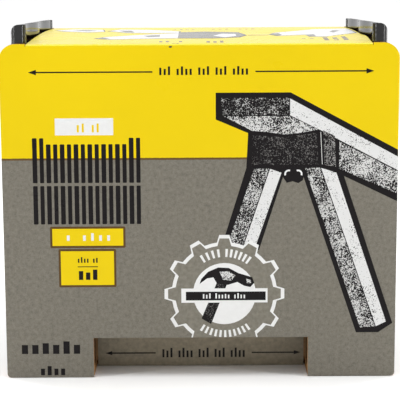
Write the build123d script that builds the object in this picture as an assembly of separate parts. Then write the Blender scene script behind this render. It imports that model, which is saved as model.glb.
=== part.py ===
from build123d import *
from math import cos, pi

# A pair of plastic sawhorse brackets held in a folded corrugated wrap.
# Millimetres, +Z up. The front of the pack faces -Y, and the origin is the middle
# of its base. One blank makes the whole wrap, which is open at its left and right
# sides. Each bracket is a left and a right half that hook together on a hinge rod.

# ---- the wrap ----
PACK_WIDTH = 163.0          # front and back panels
PACK_DEPTH = 123.0          # over the front and back panels
PACK_HEIGHT = 140.0         # base to top panel
WALL = 3.0                  # board with its printed face
PAPER = 0.4                 # printed face sheet
GAP = 0.3                   # between pieces that move past each other
TOP_WIDTH = 141.0           # top panel, which lies between the brackets' ears
TOP_CORNER_R = 6.5          # upper corners of the front and back panels
BASE_CORNER_R = 1.6
STEP = 17.0                 # the front step is as deep as it is high
STEP_WIDTH = 88.8           # one face width of a 2x4
NOTCH_WIDTH = 90.0
FLAP_LENGTH = 30.0          # the lap glued under the rear of the top panel
FLAP_WIDTH = 134.0
GLUE_THICK = 0.3
GLUE_WIDTH = 4.0
GLUE_ROWS = 3

# ---- the brackets ----
BEAM_2X6 = 141.8            # between the ears: 5.5 in and clearance
BEAM_2X4 = 90.6             # between the lower lugs: 3.5 in and clearance
LEG_THICK = 39.1            # 1.5 in and clearance
LEG_SPLAY_TAN = 0.3054      # legs splay 17 degrees
SOCKET_LENGTH = 91.2        # 3.5 in and clearance, along the beam
BRACKET_LENGTH = 115.0      # along the beam
EAR_RISE = 12.4             # above the saddle, half way along
EAR_FALL = 3.6              # from the ear's front end to its rear end
EAR_ROUND = 3.6
LUG_DROP = 17.0             # below the body
SADDLE_THICK = 3.0
SHELL = 2.6                 # end walls
SOCKET_WALL = 3.1           # measured level, across the slanted walls
EAR_WALL = 2.4
EAR_WAVE = 1.3              # the ear is waved along its length, so that it stays stiff
RIB_R = 3.1                 # round ribs up the ear's two ends
NAIL_R = 2.2

# ---- the hinge ----
ROD_R = 2.0
EYE_BORE_R = 2.05
HOOK_BORE_R = 2.1
KNUCKLE_R = 4.4
HINGE_RISE = 6.0            # rod above the body's underside
ROD_LENGTH = 95.0
NUT_R = 4.6
NUT_BORE_R = 2.03
NUT_THICK = 1.2
EYE_SPANS = ((-44.0, -30.0), (-7.0, 7.0), (30.0, 44.0))
HOOK_SPANS = ((-28.5, -8.5), (8.5, 28.5))

# ---- worked out from these ----
CORE = WALL - PAPER
FRONT = -PACK_DEPTH / 2
BACK = PACK_DEPTH / 2
STEP_BACK = FRONT + STEP
TOP_UNDER = PACK_HEIGHT - WALL
FLAP_TOP = TOP_UNDER - GLUE_THICK - 0.2
UPPER_SADDLE = FLAP_TOP - CORE - 0.4
LOWER_BASE = STEP + WALL + 0.5
BODY_HEIGHT = (UPPER_SADDLE - LOWER_BASE - LUG_DROP - GAP) / 2
LOWER_SADDLE = LOWER_BASE + BODY_HEIGHT
EAR_X = BEAM_2X6 / 2 + RIB_R
SOCKET_OUT = EAR_X + EAR_WALL / 2 - SOCKET_WALL
SOCKET_IN = SOCKET_OUT - LEG_THICK * (1 + LEG_SPLAY_TAN ** 2) ** 0.5
SPLAY_SHIFT = (BODY_HEIGHT - SADDLE_THICK) * LEG_SPLAY_TAN


def block(x0, x1, y0, y1, z0, z1):
    """A box between two corners."""
    box = Box(x1 - x0, y1 - y0, z1 - z0)
    return Pos((x0 + x1) / 2, (y0 + y1) / 2, (z0 + z1) / 2) * box


def plate_xz(sketch, y0, y1):
    """A flat shape in the X-Z plane, made solid from y0 to y1."""
    return extrude(Plane.XZ.offset(-y1) * sketch, amount=y1 - y0, dir=(0, -1, 0))


def rod_y(radius, y0, y1, x, z):
    """A round bar along Y."""
    return Pos(x, (y0 + y1) / 2, z) * Rot(90, 0, 0) * Cylinder(radius, y1 - y0)


def panel_outline():
    """The upright panels: large radii at the top corners and small ones at the base."""
    outline = Pos(0, PACK_HEIGHT / 2) * Rectangle(PACK_WIDTH, PACK_HEIGHT)
    corners = outline.vertices().sort_by(Axis.Y)
    outline = fillet(corners[2:], TOP_CORNER_R)
    return fillet(outline.vertices().sort_by(Axis.Y)[:2], BASE_CORNER_R)


def crease_relief(height):
    """The part of an upright panel that gives way to the panel folded over it."""
    width = TOP_WIDTH + 2 * GAP
    return Pos(0, (height + PACK_HEIGHT + 1) / 2) * Rectangle(width, PACK_HEIGHT + 1 - height)


def front_outline():
    return panel_outline() - Pos(0, STEP / 2) * Rectangle(NOTCH_WIDTH, STEP)


def front_print():
    return plate_xz(front_outline(), FRONT, FRONT + PAPER)


def front_board():
    outline = front_outline() - crease_relief(TOP_UNDER - GAP)
    return plate_xz(outline, FRONT + PAPER, FRONT + WALL)


def back_print():
    return plate_xz(panel_outline() - crease_relief(FLAP_TOP), BACK - PAPER, BACK)


def back_board():
    return plate_xz(panel_outline() - crease_relief(FLAP_TOP), BACK - WALL, BACK - PAPER)


def top_print():
    return block(-TOP_WIDTH / 2, TOP_WIDTH / 2, FRONT + PAPER, BACK, PACK_HEIGHT - PAPER, PACK_HEIGHT)


def top_board():
    return block(-TOP_WIDTH / 2, TOP_WIDTH / 2, FRONT + PAPER, BACK, TOP_UNDER, PACK_HEIGHT - PAPER)


def bottom_board():
    half = PACK_WIDTH / 2 - BASE_CORNER_R
    base = block(-half, half, FRONT + WALL + GAP, BACK - WALL, 0, WALL)
    half = NOTCH_WIDTH / 2
    return base - block(-half, half, FRONT, STEP_BACK + WALL + GAP, -1, WALL + 1)


def drop_print():
    half = STEP_WIDTH / 2
    return block(-half, half, STEP_BACK, STEP_BACK + PAPER, 0, STEP - GAP)


def drop_board():
    half = STEP_WIDTH / 2
    return block(-half, half, STEP_BACK + PAPER, STEP_BACK + WALL, 0, STEP - GAP)


def ledge_print():
    half = STEP_WIDTH / 2
    return block(-half, half, FRONT + WALL + GAP, STEP_BACK - GAP, STEP, STEP + PAPER)


def ledge_board():
    half = STEP_WIDTH / 2
    return block(-half, half, FRONT + WALL + GAP, STEP_BACK - GAP, STEP + PAPER, STEP + WALL)


def glue_flap():
    rear = BACK - WALL
    return block(-FLAP_WIDTH / 2, FLAP_WIDTH / 2, rear - FLAP_LENGTH, rear, FLAP_TOP - CORE, FLAP_TOP)


def glue_beads():
    """Rows of hot-melt between the flap and the top panel."""
    pitch = FLAP_LENGTH / GLUE_ROWS
    half = FLAP_WIDTH / 2 - 8
    beads = []
    for row in range(GLUE_ROWS):
        y = BACK - WALL - pitch * (row + 0.5)
        bead = block(-half, half, y - GLUE_WIDTH / 2, y + GLUE_WIDTH / 2, FLAP_TOP, FLAP_TOP + GLUE_THICK)
        beads.append(bead)
    return Compound(children=beads)


def slanted_wall(x_top):
    """A socket wall, which leans outward towards its foot. z is 0 at the saddle."""
    foot = x_top + SPLAY_SHIFT
    profile = Polygon(
        (x_top, -SADDLE_THICK), (x_top + SOCKET_WALL, -SADDLE_THICK),
        (foot + SOCKET_WALL, -BODY_HEIGHT), (foot, -BODY_HEIGHT), align=None)
    return plate_xz(profile, -SOCKET_LENGTH / 2 - 1, SOCKET_LENGTH / 2 + 1)


def ear_wall(height):
    """The waved wall, seen from above, with its foot at z = 0."""
    half = BRACKET_LENGTH / 2 - RIB_R
    faces = []
    for side in (-EAR_WALL / 2, EAR_WALL / 2):
        points = []
        for step in range(-8, 9):
            y = half * step / 8
            points.append((EAR_X + side - EAR_WAVE * cos(2 * pi * y / half), y))
        faces.append(Spline(*points))
    inner, outer = faces
    outline = [inner, Line(inner @ 1, outer @ 1), outer, Line(outer @ 0, inner @ 0)]
    return extrude(make_face(outline), amount=height)


def ear():
    """The outer wall between two round ribs. Its top falls to the rear and is rounded over outside."""
    half = BRACKET_LENGTH / 2 - RIB_R
    top = EAR_RISE + EAR_FALL
    height = top + BODY_HEIGHT
    wall = Pos(0, 0, -BODY_HEIGHT) * ear_wall(height)
    for y in (-half, half):
        wall += Pos(EAR_X, y, top - height / 2) * Cylinder(RIB_R, height)
    rear_top = EAR_RISE - EAR_FALL / 2
    profile = Pos(EAR_X, rear_top - height) * Rectangle(2 * RIB_R, 2 * height)
    outer_top = profile.vertices().sort_by(Axis.X)[2:].sort_by(Axis.Y)[-1:]
    profile = Plane.XZ.offset(-BRACKET_LENGTH / 2) * fillet(outer_top, EAR_ROUND)
    length = (BRACKET_LENGTH ** 2 + EAR_FALL ** 2) ** 0.5
    return wall & extrude(profile, amount=length, dir=(0, -BRACKET_LENGTH, EAR_FALL))


def leg_socket():
    """The room for the end of a leg, between the slanted walls."""
    profile = Polygon(
        (SOCKET_IN - SPLAY_SHIFT, -SADDLE_THICK), (SOCKET_OUT - SPLAY_SHIFT, -SADDLE_THICK),
        (SOCKET_OUT, -BODY_HEIGHT), (SOCKET_IN, -BODY_HEIGHT), align=None)
    return plate_xz(profile, -SOCKET_LENGTH / 2, SOCKET_LENGTH / 2)


def end_walls():
    """The two walls that close the socket's ends, chamfered to clear the knuckles."""
    foot = SOCKET_IN - SOCKET_WALL
    profile = Polygon(
        (6, -SADDLE_THICK), (EAR_X, -SADDLE_THICK), (EAR_X, -BODY_HEIGHT),
        (foot, -BODY_HEIGHT), (6, -BODY_HEIGHT + HINGE_RISE + 8), align=None)
    inner = SOCKET_LENGTH / 2
    return plate_xz(profile, -inner - SHELL, -inner) + plate_xz(profile, inner, inner + SHELL)


def beam_lugs():
    """Fins outside the end walls that run down past the body and hold a 2x4 beam's edges."""
    x0 = BEAM_2X4 / 2
    inner = SOCKET_LENGTH / 2
    z0 = -BODY_HEIGHT - LUG_DROP
    front = block(x0, x0 + SHELL, -BRACKET_LENGTH / 2, -inner, z0, -SADDLE_THICK)
    back = block(x0, x0 + SHELL, inner, BRACKET_LENGTH / 2, z0, -SADDLE_THICK)
    return front + back


def gussets():
    """Triangular webs under the saddle's overhang."""
    inner = SOCKET_LENGTH / 2 + SHELL
    outer = BRACKET_LENGTH / 2
    profile = Polygon((inner, -SADDLE_THICK), (outer, -SADDLE_THICK), (inner, -BODY_HEIGHT * 0.6), align=None)
    web = extrude(Plane.YZ * profile, amount=2, dir=(1, 0, 0))
    webs = []
    for x in (14, 30, 60):
        webs.append(Pos(x, 0, 0) * web)
        webs.append(Pos(x, 0, 0) * mirror(web, Plane.XZ))
    return webs


def knuckles(spans, bore, hooked):
    """Hinge knuckles on arms from the socket's inner wall. Hooks are open towards -X."""
    z = -BODY_HEIGHT + HINGE_RISE
    pieces = []
    for y0, y1 in spans:
        piece = rod_y(KNUCKLE_R, y0, y1, 0, z) + block(0, SOCKET_IN - 4.5, y0, y1, z - 3.8, z + 3.8)
        piece -= rod_y(bore, y0 - 1, y1 + 1, 0, z)
        if hooked:
            piece -= block(-KNUCKLE_R - 1, 0, y0 - 1, y1 + 1, z - bore, z + bore)
        pieces.append(piece)
    return pieces


def bracket_half(spans, bore, hooked):
    """The right-hand half, with the saddle's surface at z = 0."""
    half = BRACKET_LENGTH / 2
    body = block(0.2, EAR_X, -half, half, -SADDLE_THICK, 0) + ear() + end_walls() + beam_lugs()
    body += slanted_wall(SOCKET_OUT - SPLAY_SHIFT) + slanted_wall(SOCKET_IN - SPLAY_SHIFT - SOCKET_WALL)
    for piece in gussets() + knuckles(spans, bore, hooked):
        body += piece
    for y in (-27, 27):
        hole = Pos(EAR_X - 6, y, -BODY_HEIGHT + 14) * Rot(0, 90, 0) * Cylinder(NAIL_R, 30)
        body -= hole
    return body - leg_socket()


def hinge_rod():
    return rod_y(ROD_R, -ROD_LENGTH / 2, ROD_LENGTH / 2, 0, -BODY_HEIGHT + HINGE_RISE)


def push_nut(y):
    z = -BODY_HEIGHT + HINGE_RISE
    return rod_y(NUT_R, y - NUT_THICK / 2, y + NUT_THICK / 2, 0, z) - rod_y(NUT_BORE_R, y - 2, y + 2, 0, z)


def save(node, solid):
    export_step(solid, "parts/" + node + ".step")


WRAP = (front_print, front_board, back_print, back_board, top_print, top_board, bottom_board,
        drop_print, drop_board, ledge_print, ledge_board, glue_flap, glue_beads)
for make in WRAP:
    save(make.__name__, make())

right_half = bracket_half(HOOK_SPANS, HOOK_BORE_R, True)
left_half = mirror(bracket_half(EYE_SPANS, EYE_BORE_R, False), Plane.YZ)
nut_y = EYE_SPANS[-1][1] + GAP + NUT_THICK / 2
for level, saddle in (("upper", UPPER_SADDLE), ("lower", LOWER_SADDLE)):
    lift = Pos(0, 0, saddle)
    save(level + "_left_half", lift * left_half)
    save(level + "_right_half", lift * right_half)
    save(level + "_hinge_rod", lift * hinge_rod())
    save(level + "_front_push_nut", lift * push_nut(-nut_y))
    save(level + "_rear_push_nut", lift * push_nut(nut_y))
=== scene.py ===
import math
import bpy
import bmesh
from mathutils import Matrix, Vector


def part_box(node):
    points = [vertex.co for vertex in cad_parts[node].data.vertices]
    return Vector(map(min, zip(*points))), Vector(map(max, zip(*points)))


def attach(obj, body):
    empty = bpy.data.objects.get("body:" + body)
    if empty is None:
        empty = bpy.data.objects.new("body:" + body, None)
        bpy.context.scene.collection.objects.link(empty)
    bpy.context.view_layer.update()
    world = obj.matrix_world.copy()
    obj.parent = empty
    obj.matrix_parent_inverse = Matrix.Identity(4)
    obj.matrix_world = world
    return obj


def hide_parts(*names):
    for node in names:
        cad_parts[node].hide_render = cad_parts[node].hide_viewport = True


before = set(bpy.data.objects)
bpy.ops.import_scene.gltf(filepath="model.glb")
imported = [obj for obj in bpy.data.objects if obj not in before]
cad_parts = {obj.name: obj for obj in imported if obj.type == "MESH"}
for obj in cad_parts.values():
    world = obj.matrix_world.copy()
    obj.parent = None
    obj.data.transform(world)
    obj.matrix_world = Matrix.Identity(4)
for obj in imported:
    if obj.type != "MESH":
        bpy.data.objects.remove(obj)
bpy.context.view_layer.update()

# A printed corrugated wrap around black plastic sawhorse brackets, seen from the front.
# Shapes on a panel are given in millimetres on that panel: u to the viewer's right when the
# panel faces the viewer, v up (or to the rear on the top panel), and lift off the sheet.

MM = 0.001
INK = 0.012                 # thickness of one printed layer
PAPER = 0.30                # printed sheet under the ink
LAYERS = 13                 # most layers printed over each other
FLUTE_PITCH = 6.3
FLUTE_STEPS = 12            # mesh rows to a flute
WASHBOARD = math.pi / 10 / (FLUTE_PITCH * MM)   # the wave texture's scale for one wave to a flute
LINER = 0.32                # thickness of a liner
MEDIUM = 0.24               # thickness of the fluted paper between two liners
ARC_STEPS = 12

# ---------------------------------------------------------------- places, from the frame


def box_mm(node):
    """A node's lowest and highest corners at rest, in millimetres."""
    low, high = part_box(node)
    return low / MM, high / MM


FRONT_LOW, FRONT_HIGH = box_mm("front_print")
TOP_HIGH = box_mm("top_print")[1]
BACK_HIGH = box_mm("back_print")[1]
DROP_LOW, DROP_HIGH = box_mm("drop_print")
LEDGE_LOW, LEDGE_HIGH = box_mm("ledge_print")
BOTTOM_LOW, BOTTOM_HIGH = box_mm("bottom_board")
FLAP_LOW, FLAP_HIGH = box_mm("glue_flap")
CORE_HIGH = box_mm("front_board")[1]
TOP_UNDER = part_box("top_board")[0].z / MM

WIDTH = FRONT_HIGH.x - FRONT_LOW.x
HEIGHT = FRONT_HIGH.z
HALF = WIDTH / 2
TOP_HALF = TOP_HIGH.x
DEPTH = TOP_HIGH.y - FRONT_LOW.y
WALL = CORE_HIGH.y - FRONT_LOW.y
INNER = WALL - LAYERS * INK   # from the face of a printed sheet to the inside of its board
STEP = LEDGE_LOW.z
NOTCH_HALF = DROP_HIGH.x + 0.6
GAP = 0.3                   # between panels that move past each other
EAR_GAP = 0.5               # from the top panel's sides to the flutes of the shoulders beside it
TOP_CORNER = 6.5
BASE_CORNER = 1.6
CREASE_R = 1.0
TOP_BOW = 1.0               # the top panel's rise in the middle of its depth
TOP_RIPPLE = 0.8            # the lift near the front of its right-hand edge
TOP_CELL = 6                # the bowed panel is cut into cells this wide, so that it can curve
INSET = 0.15                # the medium stops just short of the cut edges


def on_front(u, v, lift):
    return Vector((u, FRONT_LOW.y + LAYERS * INK - lift, v)) * MM


def on_back(u, v, lift):
    return Vector((-u, BACK_HIGH.y - LAYERS * INK + lift, v)) * MM


def on_drop(u, v, lift):
    return Vector((u, DROP_LOW.y + LAYERS * INK - lift, v)) * MM


def on_ledge(u, v, lift):
    return Vector((u, v, LEDGE_LOW.z - lift)) * MM


def top_height(u, v):
    """The top panel bows up a little and lifts near the front of its right-hand edge."""
    along = min(max((v - CREASE_R) / (DEPTH - CREASE_R), 0), 1)
    bow = TOP_BOW * math.sin(math.pi * along)
    edge = max(u / TOP_HALF, 0) ** 6
    ripple = TOP_RIPPLE * edge * math.sin(math.pi * min(along * 2.6, 1)) ** 2
    return TOP_HIGH.z - LAYERS * INK + bow + ripple


def on_top(u, v, lift):
    return Vector((u, FRONT_LOW.y + v, top_height(u, v) + lift)) * MM


# ---------------------------------------------------------------- mesh helpers


def add_closed(target, part):
    """Adds one closed solid to a mesh, with its faces turned outward."""
    part.normal_update()
    bmesh.ops.recalc_face_normals(part, faces=part.faces[:])
    if part.calc_volume(signed=True) < 0:
        bmesh.ops.reverse_faces(part, faces=part.faces[:])
    mesh = bpy.data.meshes.new("part")
    part.to_mesh(mesh)
    part.free()
    target.from_mesh(mesh)
    bpy.data.meshes.remove(mesh)


def finish_mesh(name, bm, body, material, smooth=False):
    mesh = bpy.data.meshes.new(name)
    bm.to_mesh(mesh)
    bm.free()
    mesh.materials.append(material)
    if smooth:
        for polygon in mesh.polygons:
            polygon.use_smooth = True
    piece = bpy.data.objects.new(name, mesh)
    bpy.context.scene.collection.objects.link(piece)
    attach(piece, body)
    return piece


def slice_mesh(bm, step, reach):
    """Cuts flat faces into cells so that they can follow a bowed panel."""
    count = int(reach / step)
    for axis, normal in ((0, (1, 0, 0)), (1, (0, 1, 0))):
        for index in range(-count, count + 1):
            place = [0, 0, 0]
            place[axis] = index * step
            geometry = bm.verts[:] + bm.edges[:] + bm.faces[:]
            bmesh.ops.bisect_plane(bm, geom=geometry, plane_co=place, plane_no=normal)


def prism(bm, outlines, surface, low, high, step=None):
    """Adds closed flat solids with these outlines, from one lift to another off a panel."""
    for outline in outlines:
        flat = bmesh.new()
        flat.faces.new([flat.verts.new((u, v, 0)) for u, v in outline])
        flat.normal_update()
        bmesh.ops.triangulate(flat, faces=flat.faces[:])
        if step:
            slice_mesh(flat, step, WIDTH)
        made = bmesh.ops.extrude_face_region(flat, geom=flat.faces[:], use_keep_orig=True)
        raised = {v for v in made["geom"] if isinstance(v, bmesh.types.BMVert)}
        for vert in flat.verts:
            lift = high if vert in raised else low
            vert.co = surface(vert.co.x, vert.co.y, lift)
        add_closed(bm, flat)


def plate(name, outlines, surface, low, high, body, material, step=None):
    bm = bmesh.new()
    prism(bm, outlines, surface, low, high, step)
    return finish_mesh(name, bm, body, material)


def arc(cu, cv, radius, start, end, steps=ARC_STEPS):
    """Points on a circle, from one angle to another in degrees."""
    points = []
    for index in range(steps + 1):
        angle = math.radians(start + (end - start) * index / steps)
        points.append((cu + radius * math.cos(angle), cv + radius * math.sin(angle)))
    return points


def rectangle(u0, v0, u1, v1):
    return [(u0, v0), (u1, v0), (u1, v1), (u0, v1)]


def rounded(u0, v0, u1, v1, radius):
    outline = []
    centres = ((u1 - radius, v0 + radius), (u1 - radius, v1 - radius), (u0 + radius, v1 - radius),
               (u0 + radius, v0 + radius))
    for quarter, (cu, cv) in enumerate(centres):
        outline += arc(cu, cv, radius, 90 * quarter - 90, 90 * quarter, 5)
    return outline


def clip_above(outline, level):
    """The part of an outline above a level line."""
    kept = []
    for (u0, v0), (u1, v1) in zip(outline, outline[1:] + outline[:1]):
        if v0 >= level:
            kept.append((u0, v0))
        if (v0 >= level) != (v1 >= level):
            share = (level - v0) / (v1 - v0)
            kept.append((u0 + share * (u1 - u0), level))
    return kept


def grown(outline, reach):
    """An outline with each corner moved away from its middle."""
    middle = Vector([sum(values) / len(outline) for values in zip(*outline)])
    corners = [Vector(point) for point in outline]
    return [tuple(corner + (corner - middle).normalized() * reach) for corner in corners]


# ---------------------------------------------------------------- materials


def srgb(red, green, blue):
    """A colour given as it looks on screen, 0 to 255, as linear values."""
    values = []
    for value in (red, green, blue):
        value /= 255
        values.append(value / 12.92 if value <= 0.04045 else ((value + 0.055) / 1.055) ** 2.4)
    return (*values, 1)


class Nodes:
    """A short way to write a node material."""

    def __init__(self, name):
        self.material = bpy.data.materials.new(name)
        self.material.use_nodes = True
        self.tree = self.material.node_tree
        self.shader = self.tree.nodes["Principled BSDF"]

    def add(self, kind, inputs=None, **settings):
        node = self.tree.nodes.new("ShaderNode" + kind)
        for key, value in settings.items():
            setattr(node, key, value)
        for key, value in (inputs or {}).items():
            self.feed(node, key, value)
        return node

    def feed(self, node, key, value):
        if isinstance(value, bpy.types.NodeSocket):
            self.tree.links.new(value, node.inputs[key])
        else:
            node.inputs[key].default_value = value

    def place(self):
        return self.add("TexCoord").outputs["Object"]

    def noise(self, scale, detail=3, vector=None):
        source = vector or self.place()
        return self.add("TexNoise", {"Vector": source, "Scale": scale, "Detail": detail}).outputs["Fac"]

    def math(self, operation, first, second=0.0):
        return self.add("Math", {0: first, 1: second}, operation=operation).outputs[0]

    def span(self, value, low, high, to_low, to_high):
        inputs = {"Value": value, "From Min": low, "From Max": high, "To Min": to_low, "To Max": to_high}
        return self.add("MapRange", inputs).outputs[0]

    def mix(self, factor, first, second):
        node = self.add("Mix", data_type="RGBA")
        for key, value in ((0, factor), (6, first), (7, second)):
            self.feed(node, key, value)
        return node.outputs[2]

    def bump(self, height, strength, distance):
        inputs = {"Height": height, "Strength": strength, "Distance": distance}
        self.feed(self.shader, "Normal", self.add("Bump", inputs).outputs[0])

    def set(self, **values):
        for key, value in values.items():
            self.feed(self.shader, key.replace("_", " "), value)


def varied(nodes, colour, amount, scale):
    """A colour with a soft mottle."""
    darker = tuple(c * (1 - amount) for c in colour[:3]) + (1,)
    lighter = tuple(min(c * (1 + amount), 1) for c in colour[:3]) + (1,)
    patches = nodes.span(nodes.noise(scale), 0.3, 0.7, 0, 1)
    return nodes.mix(patches, darker, lighter)


def coated(nodes, roughness=0.30, gloss=0.11):
    """The gloss of coated paper glued over flutes: a faint washboard and a fine grain."""
    waves = nodes.add("TexWave", {"Vector": nodes.place(), "Scale": WASHBOARD,
                                  "Distortion": 0.6, "Detail": 1.0}, bands_direction="Z")
    grain = nodes.noise(2600, 2)
    height = nodes.math("ADD", nodes.math("MULTIPLY", waves.outputs["Fac"], 0.5),
                        nodes.math("MULTIPLY", grain, 0.5))
    nodes.bump(height, 0.25, 0.00003)
    worn = nodes.span(nodes.noise(60, 5), 0.2, 0.8, roughness - 0.05, roughness + 0.08)
    nodes.set(Roughness=worn, Specular_IOR_Level=gloss)


YELLOW = srgb(234, 204, 8)
# the same yellow print as the front, made lighter and more lemon: painted light falling on the top
LEMON_PAINTED_TOP_LIGHT = srgb(232, 212, 14)
TAUPE = srgb(115, 111, 101)
BROWN = srgb(104, 78, 38)
BLACK = srgb(24, 21, 22)
WHITE = srgb(231, 231, 230)
KRAFT = srgb(194, 148, 96)

OVERPRINT = 0.42            # half the width of the brown line where the two colours overlap
WAVER = 0.25                # how far that line strays


def print_material(name, boundary):
    """Yellow above a level of the panel and taupe below it, with a brown line where they overprint."""
    nodes = Nodes(name)
    height = nodes.add("SeparateXYZ", {0: nodes.place()}).outputs["Z"]
    waver = nodes.math("MULTIPLY", nodes.math("SUBTRACT", nodes.noise(900, 2), 0.5), WAVER * MM)
    height = nodes.math("ADD", height, waver)
    yellow = varied(nodes, YELLOW, 0.035, 14)
    coarse = varied(nodes, TAUPE, 0.20, 620)
    fine = nodes.span(nodes.noise(2100, 2), 0.35, 0.75, 0, 0.45)
    taupe = nodes.mix(fine, coarse, srgb(144, 139, 127))
    above = nodes.math("GREATER_THAN", height, boundary * MM)
    away = nodes.math("ABSOLUTE", nodes.math("SUBTRACT", height, boundary * MM))
    line = nodes.math("LESS_THAN", away, OVERPRINT * MM)
    colour = nodes.mix(line, nodes.mix(above, taupe, yellow), BROWN)
    nodes.set(Base_Color=colour)
    coated(nodes)
    return nodes.material


def flat_print(name, colour, amount=0.05, scale=300, roughness=0.30, gloss=0.11):
    nodes = Nodes(name)
    nodes.set(Base_Color=varied(nodes, colour, amount, scale))
    coated(nodes, roughness, gloss)
    return nodes.material


def stipple(name, density, light=WHITE, dark=BLACK):
    """Pen stipple: black dots on white, closer together where it is darker."""
    nodes = Nodes(name)
    place = nodes.place()
    dots = nodes.noise(2500, 3, place)
    patches = nodes.noise(170, 2, place)
    level = nodes.math("ADD", dots, nodes.math("MULTIPLY", nodes.math("SUBTRACT", patches, 0.5), 0.35))
    ink = nodes.span(level, density + 0.02, density - 0.02, 0, 1)
    nodes.set(Base_Color=nodes.mix(ink, light, dark))
    coated(nodes)
    return nodes.material


def kraft_material(name, colour=KRAFT):
    """Unbleached liner: long pale and dark fibres with a matt tooth."""
    nodes = Nodes(name)
    stretched = nodes.add("Mapping", {"Vector": nodes.place(), "Scale": (350, 1400, 1400)}).outputs[0]
    fibres = nodes.noise(1.0, 6, stretched)
    tone = nodes.span(fibres, 0.3, 0.7, 0, 1)
    dark = tuple(c * 0.72 for c in colour[:3]) + (1,)
    light = tuple(min(c * 1.18, 1) for c in colour[:3]) + (1,)
    nodes.set(Base_Color=nodes.mix(tone, dark, light), Roughness=0.86)
    nodes.bump(fibres, 0.5, 0.00006)
    return nodes.material


def plastic_material(name):
    """Glossy black high-impact polystyrene, with faint flow marks and handling scuffs."""
    nodes = Nodes(name)
    place = nodes.place()
    flow = nodes.noise(35, 4, place)
    scuff = nodes.add("Mapping", {"Vector": place, "Scale": (900, 120, 900)}).outputs[0]
    scratches = nodes.span(nodes.noise(1.0, 3, scuff), 0.62, 0.72, 0, 1)
    gloss = nodes.math("ADD", nodes.span(flow, 0.3, 0.7, 0.06, 0.12), nodes.math("MULTIPLY", scratches, 0.15))
    tone = nodes.mix(nodes.span(flow, 0.3, 0.7, 0, 1), srgb(9, 9, 10), srgb(19, 18, 19))
    nodes.set(Base_Color=tone, Roughness=gloss)
    bevel = nodes.add("Bevel", {"Radius": 0.0006}, samples=4)
    height = nodes.math("ADD", nodes.math("MULTIPLY", flow, 0.8), nodes.math("MULTIPLY", scratches, 0.1))
    inputs = {"Height": height, "Strength": 0.10, "Distance": 0.0003, "Normal": bevel.outputs[0]}
    nodes.feed(nodes.shader, "Normal", nodes.add("Bump", inputs).outputs[0])
    return nodes.material


def steel_material(name):
    nodes = Nodes(name)
    drawn = nodes.add("Mapping", {"Vector": nodes.place(), "Scale": (3000, 90, 3000)}).outputs[0]
    lines = nodes.noise(1.0, 4, drawn)
    nodes.set(Base_Color=nodes.mix(lines, srgb(150, 152, 156), srgb(205, 207, 210)), Metallic=1.0)
    nodes.set(Roughness=nodes.span(lines, 0.3, 0.7, 0.22, 0.38))
    nodes.bump(lines, 0.2, 0.00003)
    return nodes.material


def glue_material(name):
    nodes = Nodes(name)
    nodes.set(Base_Color=varied(nodes, srgb(226, 214, 178), 0.08, 250), Roughness=0.35)
    nodes.bump(nodes.noise(400, 3), 0.4, 0.0002)
    return nodes.material


PRINT_LEVEL = 92.8          # yellow above and taupe below
PRINT = print_material("printed_sheet", PRINT_LEVEL)
# seen at a low angle, the top panel is glossier than the front
TOP_GLOSS = {"roughness": 0.24, "gloss": 0.62}
# the top sheet and the front crease take this lighter yellow, painted light from above
TOP_YELLOW_PAINTED_LIGHT = flat_print("top_yellow", LEMON_PAINTED_TOP_LIGHT, 0.03, 20, roughness=0.26, gloss=0.45)
TOP_WHITE = flat_print("top_white", srgb(226, 226, 228), 0.06, 160, **TOP_GLOSS)
TOP_GREY = flat_print("top_grey", srgb(118, 116, 112), 0.30, 420, **TOP_GLOSS)
TOP_DARK = flat_print("top_dark", srgb(60, 54, 44), 0.25, 500, **TOP_GLOSS)
TOP_MARK = flat_print("top_mark", srgb(120, 100, 62), 0.20, 500, **TOP_GLOSS)
TAUPE_INK = flat_print("taupe_ink", srgb(126, 122, 111), 0.16, 620)
# the same taupe print as taupe_ink, painted lighter to offset the shade inside the step's recess
STEP_TAUPE_PAINTED_LIGHTER = flat_print("step_ink", srgb(142, 133, 115), 0.16, 620)
YELLOW_INK = flat_print("yellow_ink", YELLOW, 0.03, 40)
BROWN_INK = flat_print("brown_ink", srgb(92, 68, 34), 0.12, 400)
BLACK_INK = flat_print("black_ink", BLACK, 0.15, 700)
WHITE_INK = flat_print("white_ink", WHITE, 0.02, 500)
PALE_STIPPLE = stipple("pale_stipple", 0.36, srgb(222, 222, 221))
MID_STIPPLE = stipple("mid_stipple", 0.50, srgb(214, 214, 212))
DARK_STIPPLE = stipple("dark_stipple", 0.58, srgb(196, 196, 194))
BLACK_STIPPLE = stipple("black_stipple", 0.60, srgb(112, 110, 108))
EAR_STIPPLE = stipple("ear_stipple", 0.54, srgb(150, 148, 146))
LEG_STIPPLE = stipple("leg_stipple", 0.52, srgb(206, 206, 204))
KRAFT_BOARD = kraft_material("kraft_board")
FLUTE_PAPER = kraft_material("flute_paper", srgb(186, 138, 84))
PLASTIC = plastic_material("black_polystyrene")
STEEL = steel_material("zinc_steel")
GLUE = glue_material("hot_melt")


def repaint(node, material):
    """Gives a CAD node a better material."""
    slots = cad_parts[node].data.materials
    slots.clear()
    slots.append(material)


# ---------------------------------------------------------------- the corrugated board


def half_width(v):
    """Half the width of an upright panel at a height, inside its rounded corners."""
    drop = TOP_CORNER - (HEIGHT - v)
    if drop > 0:
        return HALF - TOP_CORNER + math.sqrt(max(TOP_CORNER ** 2 - drop ** 2, 0))
    drop = BASE_CORNER - v
    if drop > 0:
        return HALF - BASE_CORNER + math.sqrt(max(BASE_CORNER ** 2 - drop ** 2, 0))
    return HALF


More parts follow.
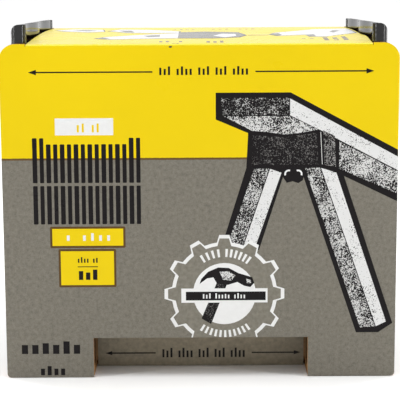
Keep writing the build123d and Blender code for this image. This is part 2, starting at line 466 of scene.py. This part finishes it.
def panel_outline(relief, notch=False):
    """An upright panel's outline. relief is how far the middle stands below the shoulders."""
    outline = []
    if notch:
        outline += [(NOTCH_HALF, 0), (HALF - BASE_CORNER, 0)]
    outline += arc(HALF - BASE_CORNER, BASE_CORNER, BASE_CORNER, -90, 0, 4)
    outline += arc(HALF - TOP_CORNER, HEIGHT - TOP_CORNER, TOP_CORNER, 0, 90)
    edge = TOP_HALF + GAP
    outline += [(edge, HEIGHT), (edge, HEIGHT - relief), (-edge, HEIGHT - relief), (-edge, HEIGHT)]
    outline += arc(-HALF + TOP_CORNER, HEIGHT - TOP_CORNER, TOP_CORNER, 90, 180)
    outline += arc(-HALF + BASE_CORNER, BASE_CORNER, BASE_CORNER, 180, 270, 4)
    if notch:
        outline += [(-NOTCH_HALF, 0), (-NOTCH_HALF, STEP), (NOTCH_HALF, STEP)]
    cleaned = []
    for point in outline:
        if not cleaned or math.dist(point, cleaned[-1]) > 1e-6:
            cleaned.append(point)
    return cleaned


def fluted(target, surface, depth, v0, v1, left, right):
    """The wavy medium between two liners, with its flutes along u. depth is the room for it."""
    bm = bmesh.new()
    rows = max(int((v1 - v0) / FLUTE_PITCH * FLUTE_STEPS), 2)
    centre = (depth[0] + depth[1]) / 2
    swing = (depth[1] - depth[0] - MEDIUM) / 2
    rings = []
    for index in range(rows + 1):
        v = v0 + (v1 - v0) * index / rows
        middle = centre + swing * math.sin(2 * math.pi * v / FLUTE_PITCH)
        ring = []
        for u, side in ((left(v), -1), (left(v), 1), (right(v), 1), (right(v), -1)):
            ring.append(bm.verts.new(surface(u, v, -(middle - side * MEDIUM / 2))))
        rings.append(ring)
    for low, high in zip(rings, rings[1:]):
        for a in range(4):
            b = (a + 1) % 4
            bm.faces.new((low[a], low[b], high[b], high[a]))
    bm.faces.new(rings[0])
    bm.faces.new(rings[-1])
    add_closed(target, bm)


def board(name, outline, spans, surface, body, node, thick, face=PAPER, step=None):
    """A corrugated board: two liners and the fluted medium between them."""
    bm = bmesh.new()
    prism(bm, [outline], surface, -face, -face - LINER, step)
    prism(bm, [outline], surface, -thick + LINER, -thick, step)
    liners = finish_mesh(name + "_liners", bm, body, KRAFT_BOARD)
    bm = bmesh.new()
    for v0, v1, left, right in spans:
        fluted(bm, surface, (face + LINER, thick - LINER), v0, v1, left, right)
    finish_mesh(name + "_flutes", bm, body, FLUTE_PAPER, smooth=True)
    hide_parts(node)


def even(value):
    return lambda v: value


def sheet(name, outline, surface, body, material, node, step=None):
    """The printed paper on the face of a board."""
    piece = plate(name, [outline], surface, 0, -PAPER, body, material, step)
    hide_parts(node)


def shoulders(v0, v1):
    """The flutes' spans beside the top panel's edge."""
    return [
        (v0, v1, lambda v: -half_width(v) + INSET, even(-TOP_HALF - EAR_GAP)),
        (v0, v1, even(TOP_HALF + EAR_GAP), lambda v: half_width(v) - INSET),
    ]


def build_front():
    outline = panel_outline(CREASE_R, notch=True)
    sheet("front_sheet", outline, on_front, "front_panel", PRINT, "front_print")
    relief = HEIGHT - (TOP_UNDER - GAP)
    upper = HEIGHT - relief
    outline = panel_outline(relief, notch=True)
    spans = [
        (STEP + INSET, upper, lambda v: -half_width(v) + INSET, lambda v: half_width(v) - INSET),
        (INSET, STEP, lambda v: -half_width(v) + INSET, even(-NOTCH_HALF - INSET)),
        (INSET, STEP, even(NOTCH_HALF + INSET), lambda v: half_width(v) - INSET),
    ] + shoulders(upper, HEIGHT - INSET)
    board("front_corrugated", outline, spans, on_front, "front_panel", "front_board", INNER)
    crease_lip()


def build_back():
    flap_top = FLAP_HIGH.z
    outline = panel_outline(HEIGHT - flap_top)
    sheet("back_sheet", outline, on_back, "root", PRINT, "back_print")
    spans = [
        (INSET, flap_top, lambda v: -half_width(v) + INSET, lambda v: half_width(v) - INSET),
    ] + shoulders(flap_top, HEIGHT - INSET)
    board("back_corrugated", outline, spans, on_back, "root", "back_board", INNER)


def build_top():
    v0, v1 = CREASE_R, DEPTH
    outline = rectangle(-TOP_HALF, v0, TOP_HALF, v1)
    sheet("top_sheet", outline, on_top, "top_panel", TOP_YELLOW_PAINTED_LIGHT, "top_print", TOP_CELL)
    spans = [(v0 + INSET, v1 - INSET, even(-TOP_HALF + INSET), even(TOP_HALF - INSET))]
    board("top_corrugated", outline, spans, on_top, "top_panel", "top_board", INNER, step=TOP_CELL)


def build_step():
    """The recessed panel at the foot of the front, and the ledge above it."""
    half = DROP_HIGH.x
    height = DROP_HIGH.z
    outline = rectangle(-half, 0, half, height)
    # the drop and ledge sheets take the step taupe, painted lighter against the shade in the recess
    sheet("drop_sheet", outline, on_drop, "step_drop", STEP_TAUPE_PAINTED_LIGHTER, "drop_print")
    spans = [(INSET, height - INSET, even(-half + INSET), even(half - INSET))]
    board("drop_corrugated", outline, spans, on_drop, "step_drop", "drop_board", INNER)
    v0, v1 = LEDGE_LOW.y, LEDGE_HIGH.y
    outline = rectangle(-half, v0, half, v1)
    sheet("ledge_sheet", outline, on_ledge, "step_ledge", STEP_TAUPE_PAINTED_LIGHTER, "ledge_print")
    spans = [(v0 + INSET, v1 - INSET, even(-half + INSET), even(half - INSET))]
    board("ledge_corrugated", outline, spans, on_ledge, "step_ledge", "ledge_board", WALL)


def crease_lip():
    """The rounded fold at the top of the front sheet, which meets the top sheet."""
    part = bmesh.new()
    centre = Vector((FRONT_LOW.y + LAYERS * INK + CREASE_R, HEIGHT - LAYERS * INK - CREASE_R))
    rings = []
    for x in (-TOP_HALF, TOP_HALF):
        ring = []
        for radius, angles in ((CREASE_R, range(0, 91, 10)), (CREASE_R - PAPER, range(90, -1, -10))):
            for degrees in angles:
                angle = math.radians(degrees)
                y = centre.x - radius * math.cos(angle)
                z = centre.y + radius * math.sin(angle)
                ring.append(part.verts.new(Vector((x, y, z)) * MM))
        rings.append(ring)
        part.faces.new(ring)
    left, right = rings
    for a in range(len(left)):
        b = (a + 1) % len(left)
        part.faces.new((left[a], left[b], right[b], right[a]))
    bm = bmesh.new()
    add_closed(bm, part)
    # the crease uses the top's lighter yellow, painted light from above
    finish_mesh("front_crease", bm, "front_panel", TOP_YELLOW_PAINTED_LIGHT)


def on_bottom(u, v, lift):
    return Vector((u, v, -lift)) * MM


def on_flap(u, v, lift):
    return Vector((u, v, FLAP_HIGH.z + lift)) * MM


def build_bottom():
    """The plain bottom panel, cut away for the step."""
    half = BOTTOM_HIGH.x
    v0, v1 = BOTTOM_LOW.y, BOTTOM_HIGH.y
    cut = DROP_HIGH.y + WALL - PAPER + GAP
    outline = [(-half, v0), (-NOTCH_HALF, v0), (-NOTCH_HALF, cut), (NOTCH_HALF, cut), (NOTCH_HALF, v0),
               (half, v0), (half, v1), (-half, v1)]
    spans = [
        (cut + INSET, v1 - INSET, even(-half + INSET), even(half - INSET)),
        (v0 + INSET, cut, even(-half + INSET), even(-NOTCH_HALF - INSET)),
        (v0 + INSET, cut, even(NOTCH_HALF + INSET), even(half - INSET)),
    ]
    board("bottom_corrugated", outline, spans, on_bottom, "root", "bottom_board", WALL, face=0)


def build_flap():
    """The glue lap under the rear of the top panel."""
    half = FLAP_HIGH.x
    v0, v1 = FLAP_LOW.y, FLAP_HIGH.y
    chamfer = 8
    outline = [(-half + chamfer, v0), (half - chamfer, v0), (half, v0 + chamfer), (half, v1), (-half, v1),
               (-half, v0 + chamfer)]

    def edge(v):
        return half - max(chamfer - (v - v0), 0) - INSET

    spans = [(v0 + INSET, v1, lambda v: -edge(v), edge)]
    thick = FLAP_HIGH.z - FLAP_LOW.z
    board("flap_corrugated", outline, spans, on_flap, "root", "glue_flap", thick, face=0)


# ---------------------------------------------------------------- the print


class Press:
    """Collects outlines for one panel, by layer and ink, and makes one piece of each."""

    def __init__(self, panel, surface, body, step=None):
        self.panel = panel
        self.surface = surface
        self.body = body
        self.step = step
        self.plates = {}

    def ink(self, layer, material, *outlines):
        self.plates.setdefault((layer, material.name), []).extend(outlines)

    def run(self):
        for (layer, ink_name), outlines in sorted(self.plates.items()):
            low = (layer - 1) * INK
            material = bpy.data.materials[ink_name]
            name = f"{self.panel}_{ink_name}_{layer}"
            plate(name, outlines, self.surface, low, low + INK * 0.9, self.body, material,
                  self.step)


def arrow(u_tail, u_tip, v, head=3.2, spread=1.1, shaft=0.29):
    """A level arrow."""
    way = 1 if u_tip > u_tail else -1
    neck = u_tip - way * head
    return [(u_tail, v - shaft), (neck, v - shaft), (neck, v - spread), (u_tip, v), (neck, v + spread),
            (neck, v + shaft), (u_tail, v + shaft)]


def tally(u0, u1, v, height, words, fill=0.5):
    """Groups of plain upright strokes in place of a line of words, from u0 to u1."""
    pitch = (u1 - u0) / (sum(words) + (len(words) - 1) - 1 + fill)
    bars = []
    u = u0
    for word in words:
        for index in range(word):
            rise = height * (1.0, 0.72, 0.72, 0.86, 0.72)[(index + word) % 5]
            bars.append(rectangle(u, v, u + pitch * fill, v + rise))
            u += pitch
        u += pitch
    return bars


def strokes(u0, u1, v0, v1, cells, tall=()):
    """A headline's plain upright strokes, two to a cell. The cells named in tall stand higher."""
    pitch = (u1 - u0) / (cells - 0.14)
    bars = []
    for cell in range(cells):
        u = u0 + cell * pitch
        rise = 0.16 * (v1 - v0) if cell in tall else 0
        for start, share in ((0.0, 0.34), (0.52, 0.30)):
            bars.append(rounded(u + start * pitch, v0, u + (start + share) * pitch, v1 + rise, 0.35))
    return bars


def cog(cu, cv, root, tip, teeth):
    """An even cog outline with straight-sided teeth."""
    outline = []
    pitch = 360 / teeth
    for index in range(teeth):
        middle = 90 + index * pitch
        for radius, share in ((root, -0.27), (tip, -0.16), (tip, 0.16), (root, 0.27)):
            angle = math.radians(middle + share * pitch)
            outline.append((cu + radius * math.cos(angle), cv + radius * math.sin(angle)))
        angle = math.radians(middle + 0.5 * pitch)
        outline.append((cu + root * math.cos(angle), cv + root * math.sin(angle)))
    return outline


def band(cu, cv, radius, width, start, end):
    return arc(cu, cv, radius + width / 2, start, end) + arc(cu, cv, radius - width / 2, end, start)


def print_front():
    press = Press("front", on_front, "front_panel")
    # beam-width arrows and the line between them
    press.ink(1, BLACK_INK, arrow(-19.1, -69.7, 128.5), arrow(22.8, 71.2, 128.5))
    press.ink(1, BLACK_INK, *tally(-16.3, 19.8, 127.2, 3.5, (3, 4, 3, 3, 4)))
    # headline block
    press.ink(1, WHITE_INK, rectangle(-59.3, 102.7, -35.4, 109.7))
    press.ink(2, YELLOW_INK, *tally(-50.3, -41.3, 103.9, 4.2, (2, 2), 0.42))
    press.ink(1, BLACK_INK, *strokes(-68.8, -24.2, 82.9, 99.0, 8, tall=(0, 7)))
    press.ink(1, BLACK_INK, *strokes(-68.8, -24.2, 65.6, 81.7, 8))
    rim = 0.9
    for u0, v0, u1, v1 in ((-62.2, 55.6, -31.0, 64.6), (-58.9, 38.9, -35.0, 55.1)):
        press.ink(1, BROWN_INK, rounded(u0, v0, u1, v1, 0.6))
        press.ink(2, YELLOW_INK, rectangle(u0 + rim, v0 + rim, u1 - rim, v1 - rim))
    press.ink(3, WHITE_INK, *tally(-55.3, -37.4, 58.6, 3.2, (1, 4), 0.34))
    press.ink(3, BLACK_INK, *tally(-50.9, -42.7, 49.3, 2.4, (4, 2)))
    press.ink(3, BLACK_INK, rectangle(-51.0, 47.4, -42.6, 47.75), *tally(-50.6, -42.9, 42.0, 4.4, (3,), 0.62))
    # two short lines at the foot
    press.ink(1, BLACK_INK, *tally(-75.2, -50.7, 10.2, 5.4, (6,), 0.6))
    press.ink(1, BLACK_INK, *tally(-67.4, -57.2, 0.9, 4.0, (4,), 0.6))
    # a nick worn through the print at the crease
    press.ink(1, TOP_DARK, [(-12.4, 138.4), (-11.4, 138.2), (-10.9, 138.95), (-12.2, 138.95)])
    draw_sawhorse(press)
    draw_badge(press, 10.0, 35.8)
    press.run()


def print_step():
    """The line on the recessed panel, between its two arrows."""
    press = Press("drop", on_drop, "step_drop")
    press.ink(1, BLACK_INK, arrow(-19.5, -41.3, 5.6, 3.0, 0.9), arrow(22.0, 43.2, 5.6, 3.0, 0.9))
    press.ink(1, BLACK_INK, *tally(-16.6, 19.0, 3.6, 4.2, (3, 4, 3, 3, 4)))
    press.run()


def print_top():
    """The top panel's picture of a laid beam with its brackets, which is seen at a low angle."""
    press = Press("top", on_top, "top_panel", step=TOP_CELL)
    arm = [(-44, 27), (-37, 22), (-25, 25), (-9, 27), (-9, 58), (-26, 46), (-40, 35)]
    block = [(-8.9, 27), (6, 26), (17, 31), (20, 42), (17, 62), (3, 69), (-8.9, 64)]
    far_hand = [(-66, 86), (-61, 76), (-50, 67), (-43, 72), (-45, 94), (-59, 103)]
    far_arm = [(-41, 76), (-32, 62), (-22, 59), (-9.1, 59), (-9.1, 72), (-23, 90), (-37, 95)]
    bracket = [(31, 46), (34, 37), (46, 43), (47, 32), (54, 30), (69, 54), (69, 94), (54, 88), (44, 71),
               (34, 57)]
    for layer, outlines in ((1, (far_hand, block, bracket)), (2, (arm,)), (3, (far_arm,))):
        press.ink(layer, TOP_DARK, *[grown(outline, 0.9) for outline in outlines])
    press.ink(4, TOP_WHITE, arm, far_hand, far_arm, bracket)
    press.ink(4, TOP_GREY, block, [(21.2, 41.2), (30, 42), (30, 43.5), (21.2, 43.5)])
    press.ink(5, TOP_WHITE, [(6, 40), (11, 30), (16, 38), (16, 50), (10, 52)])
    # shaded edges
    press.ink(5, TOP_GREY, [(-44, 27), (-40, 23.5), (-38, 28), (-41, 32)],
              [(-24, 41), (-22, 34), (-17, 35), (-17, 46)],
              [(-37, 82), (-33, 66), (-29, 64), (-31, 80)], [(-58, 84), (-50, 78), (-47, 84), (-54, 92)],
              [(31, 46), (34, 37), (36, 42), (35, 54), (32, 51)], [(46.2, 43), (47, 32), (50, 33), (50, 46)],
              [(58, 60), (60, 58), (64, 74), (61, 76)])
    # greeked lines
    press.ink(1, TOP_MARK, *tally(-16.5, -7.0, 8, 7, (2, 1), 0.5), *tally(3.0, 10.0, 5, 9, (3,), 0.5))
    press.ink(1, TOP_MARK, *tally(-12.0, -2.0, 88, 6, (4,), 0.5), *tally(6.0, 26.0, 92, 6, (3, 3), 0.5))
    press.ink(1, TOP_MARK, *tally(52.0, 62.0, 12, 17, (3,), 0.5), *tally(43.0, 48.0, 20, 3, (2,), 0.5))
    press.ink(1, TOP_DARK, [(-11.2, 1.2), (-10.4, 2.6), (-9.6, 1.8), (-8.6, 3.6), (-8.2, 2.0), (-9.0, 1.2)])
    press.run()


def draw_sawhorse(press):
    """A sawhorse end in pen and ink: a beam that runs off to the right, its bracket and two legs."""
    edge = HALF - 0.05
    beam = [(6.6, 119.9), (37.2, 119.9), (edge, 96.1), (edge, 74.6), (57.0, 86.4), (57.0, 104.0),
            (20.0, 103.2), (6.6, 108.9)]
    press.ink(1, BLACK_INK, beam)
    bracket = [(19.9, 104.0), (48.3, 105.4), (49.6, 105.9), (57.3, 102.3), (57.3, 88.8), (57.3, 86.5),
               (50.2, 88.6), (19.2, 88.4), (19.0, 86.6)]
    press.ink(2, BLACK_INK, bracket)
    # the beam's end, its lit side and its underside
    press.ink(2, DARK_STIPPLE, [(8.8, 117.7), (36.7, 117.7), (36.7, 110.6), (9.6, 110.6)])
    press.ink(3, PALE_STIPPLE, [(37.0, 117.4), (edge, 93.2), (edge, 87.6), (56.6, 100.6), (50.4, 103.9),
                                (37.0, 110.5)])
    press.ink(4, MID_STIPPLE, [(10.0, 110.2), (36.7, 110.2), (48.6, 104.6), (41.2, 103.2), (34.4, 102.6),
                               (28.2, 103.6), (21.4, 104.2)])
    press.ink(3, MID_STIPPLE, [(57.3, 99.6), (edge, 87.1), (edge, 77.8), (57.3, 88.4)])
    # the bracket's face and its ear
    press.ink(4, BLACK_STIPPLE, [(21.6, 102.4), (34.4, 101.4), (48.0, 103.4), (48.8, 90.0), (21.2, 90.0)])
    press.ink(4, EAR_STIPPLE, [(50.6, 104.3), (55.4, 101.9), (56.0, 89.2), (51.4, 89.9)])
    press.ink(5, WHITE_INK, [(49.5, 103.6), (49.72, 103.6), (50.46, 90.2), (50.24, 90.2)])
    # the legs: outline, dark face and lit side
    press.ink(3, BLACK_INK, [(19.2, 89.0), (35.5, 89.0), (24.4, 54.4), (8.4, 54.4)])
    press.ink(5, LEG_STIPPLE, [(22.4, 88.5), (28.5, 88.5), (17.3, 55.2), (10.8, 55.2)])
    press.ink(5, PALE_STIPPLE, [(28.9, 88.4), (33.6, 86.8), (22.7, 55.2), (17.7, 55.2)])
    press.ink(3, BLACK_INK, [(41.3, 89.0), (57.3, 89.0), (58.9, 86.6), (80.3, 22.9), (74.4, 18.9),
                             (65.1, 18.9)])
    press.ink(5, LEG_STIPPLE, [(43.2, 88.6), (49.5, 88.8), (73.0, 21.5), (66.8, 21.0)])
    press.ink(5, PALE_STIPPLE, [(49.9, 88.7), (56.2, 86.7), (77.6, 23.5), (73.4, 21.5)])
    # the hinge under the middle of the bracket
    press.ink(4, BLACK_INK, [(33.2, 89.2), (34.4, 84.6), (35.8, 82.6), (38.2, 83.2), (40.6, 82.4),
                             (42.4, 83.6), (43.6, 89.2)])
    press.ink(6, WHITE_INK, band(36.6, 86.2, 1.5, 0.7, 70, 200), band(40.4, 86.2, 1.5, 0.7, -20, 110))


def moved(points, cu, cv):
    return [(cu + u, cv + v) for u, v in points]


def draw_badge(press, cu, cv):
    """A plain cog with a hammer and a bar across it. The notch cuts its foot off."""
    level = STEP + 0.05
    root, tip, rim, teeth = 22.0, 25.1, 1.5, 12
    press.ink(6, WHITE_INK, clip_above(cog(cu, cv, root, tip, teeth), level))
    press.ink(7, TAUPE_INK, clip_above(cog(cu, cv, root - rim, tip - rim, teeth), level))
    # strokes in place of the words round the rim, two groups above and one below
    half_turn = 1.6
    for count, start, end, radius, height in ((4, 121, 98, 17.4, 3.4), (6, 87, 55, 17.4, 3.4),
                                              (11, 238, 304, 17.2, 3.0)):
        for index in range(count):
            turn = start + (end - start) * index / (count - 1)
            mark = band(cu, cv, radius, height, turn - half_turn, turn + half_turn)
            if min(v for _, v in mark) > level:
                press.ink(8, WHITE_INK, mark)
    press.ink(8, WHITE_INK, arc(cu, cv, 13.1, 0, 351, 39))
    draw_hammer(press, cu, cv)


def draw_hammer(press, cu, cv):
    """A claw hammer, and the bar that crosses its handle."""
    handle = [(-9.6, -10.6), (-5.6, -13.0), (1.4, 5.0), (-2.8, 5.6)]
    head = [(-10.4, 4.2), (-9.6, 6.4), (-6.8, 9.4), (-2.6, 11.2), (1.8, 11.0), (5.8, 8.8), (11.6, 7.0),
            (12.4, 4.6), (10.8, 2.8), (8.2, 3.4), (5.4, 5.0), (1.4, 3.8), (-3.0, 4.2), (-4.6, 7.0),
            (-7.2, 6.6)]
    shine = [(-2.0, 9.4), (1.8, 9.6), (4.6, 7.8), (3.0, 5.6), (-0.6, 6.0)]
    face = [(9.0, 6.4), (11.0, 5.8), (11.2, 4.6), (9.4, 4.4)]
    press.ink(9, BLACK_STIPPLE, moved(handle, cu, cv))
    press.ink(10, BLACK_INK, moved(head, cu, cv))
    press.ink(11, MID_STIPPLE, moved(shine, cu, cv), moved(face, cu, cv))
    press.ink(11, WHITE_INK, rectangle(cu - 18.0, cv - 3.8, cu + 18.0, cv + 2.3))
    press.ink(12, BLACK_INK, rectangle(cu - 16.1, cv - 2.8, cu + 17.2, cv + 0.9))
    press.ink(13, WHITE_INK, *tally(cu - 9.0, cu + 8.6, cv - 2.0, 2.2, (3, 5, 4), 0.45))


build_front()
build_back()
build_top()
build_step()
build_bottom()
build_flap()
print_front()
print_step()
print_top()

for level in ("upper", "lower"):
    for part in ("_left_half", "_right_half"):
        repaint(level + part, PLASTIC)
    for part in ("_hinge_rod", "_front_push_nut", "_rear_push_nut"):
        repaint(level + part, STEEL)
repaint("glue_beads", GLUE)


# ---------------------------------------------------------------- floor, light and camera


FLOOR_HALF = 9.0            # sizes in this section are in metres
SKY = 0.36
TOP_LIGHT = 2.12
# name, degrees round from the front, width, power, and the heights of the middle and of its aim
STRIPS = (("left_strip", -66, 0.045, 3.4, 0.55, 0.1), ("right_strip", 66, 0.045, 4.4, 0.55, 0.1),
          ("left_rear_strip", -118, 0.045, 3.3, 0.55, 0.1), ("right_rear_strip", 118, 0.045, 3.3, 0.55, 0.1),
          ("rear_panel", 180, 1.6, 2.9, 0.70, 0.70))
STRIP_HEIGHT = 1.1
STRIP_REACH = 1.0           # from the object's middle
EYE_REACH = 0.593           # in front of the front panel
EYE_HEIGHT = 0.178
EYE_PITCH = 9.8             # degrees down
EYE_ROLL = 0.3              # degrees
LENS = 131.2                # millimetres, as is the sensor's width


def studio():
    bm = bmesh.new()
    corners = rectangle(-FLOOR_HALF, -FLOOR_HALF, FLOOR_HALF, FLOOR_HALF)
    bm.faces.new([bm.verts.new((x, y, 0)) for x, y in corners])
    mesh = bpy.data.meshes.new("floor")
    bm.to_mesh(mesh)
    bm.free()
    nodes = Nodes("floor_white")
    nodes.set(Base_Color=(0.97, 0.97, 0.97, 1), Roughness=0.9, Specular_IOR_Level=0.0)
    mesh.materials.append(nodes.material)
    floor = bpy.data.objects.new("floor", mesh)
    bpy.context.scene.collection.objects.link(floor)
    floor.location.z = -0.0002

    world = bpy.data.worlds.new("studio")
    bpy.context.scene.world = world
    world.use_nodes = True
    world.node_tree.nodes["Background"].inputs["Color"].default_value = (1, 1, 1, 1)
    world.node_tree.nodes["Background"].inputs["Strength"].default_value = SKY

    overhead = bpy.data.lights.new("overhead", "SUN")
    overhead.energy = TOP_LIGHT
    overhead.angle = math.radians(40)
    lamp = bpy.data.objects.new("overhead", overhead)
    lamp.location = (0, 0, 2)
    bpy.context.scene.collection.objects.link(lamp)
    for name, azimuth, wide, power, middle, aim in STRIPS:
        light = bpy.data.lights.new(name, "AREA")
        light.shape = "RECTANGLE"
        light.size = wide
        light.size_y = STRIP_HEIGHT
        light.energy = power
        lamp = bpy.data.objects.new(name, light)
        angle = math.radians(azimuth)
        place = Vector((STRIP_REACH * math.sin(angle), -STRIP_REACH * math.cos(angle), middle))
        lamp.location = place
        lamp.rotation_euler = (Vector((0, 0, aim)) - place).to_track_quat("-Z", "Y").to_euler()
        bpy.context.scene.collection.objects.link(lamp)


def camera():
    data = bpy.data.cameras.new("camera")
    data.lens = LENS
    data.sensor_width = 36
    eye = bpy.data.objects.new("camera", data)
    eye.location = (0, FRONT_LOW.y * MM - EYE_REACH, EYE_HEIGHT)
    eye.rotation_mode = "ZYX"
    eye.rotation_euler = (math.radians(90 - EYE_PITCH), 0, math.radians(-EYE_ROLL))
    bpy.context.scene.collection.objects.link(eye)
    bpy.context.scene.camera = eye


studio()
camera()
bpy.context.scene.view_settings.view_transform = "Standard"
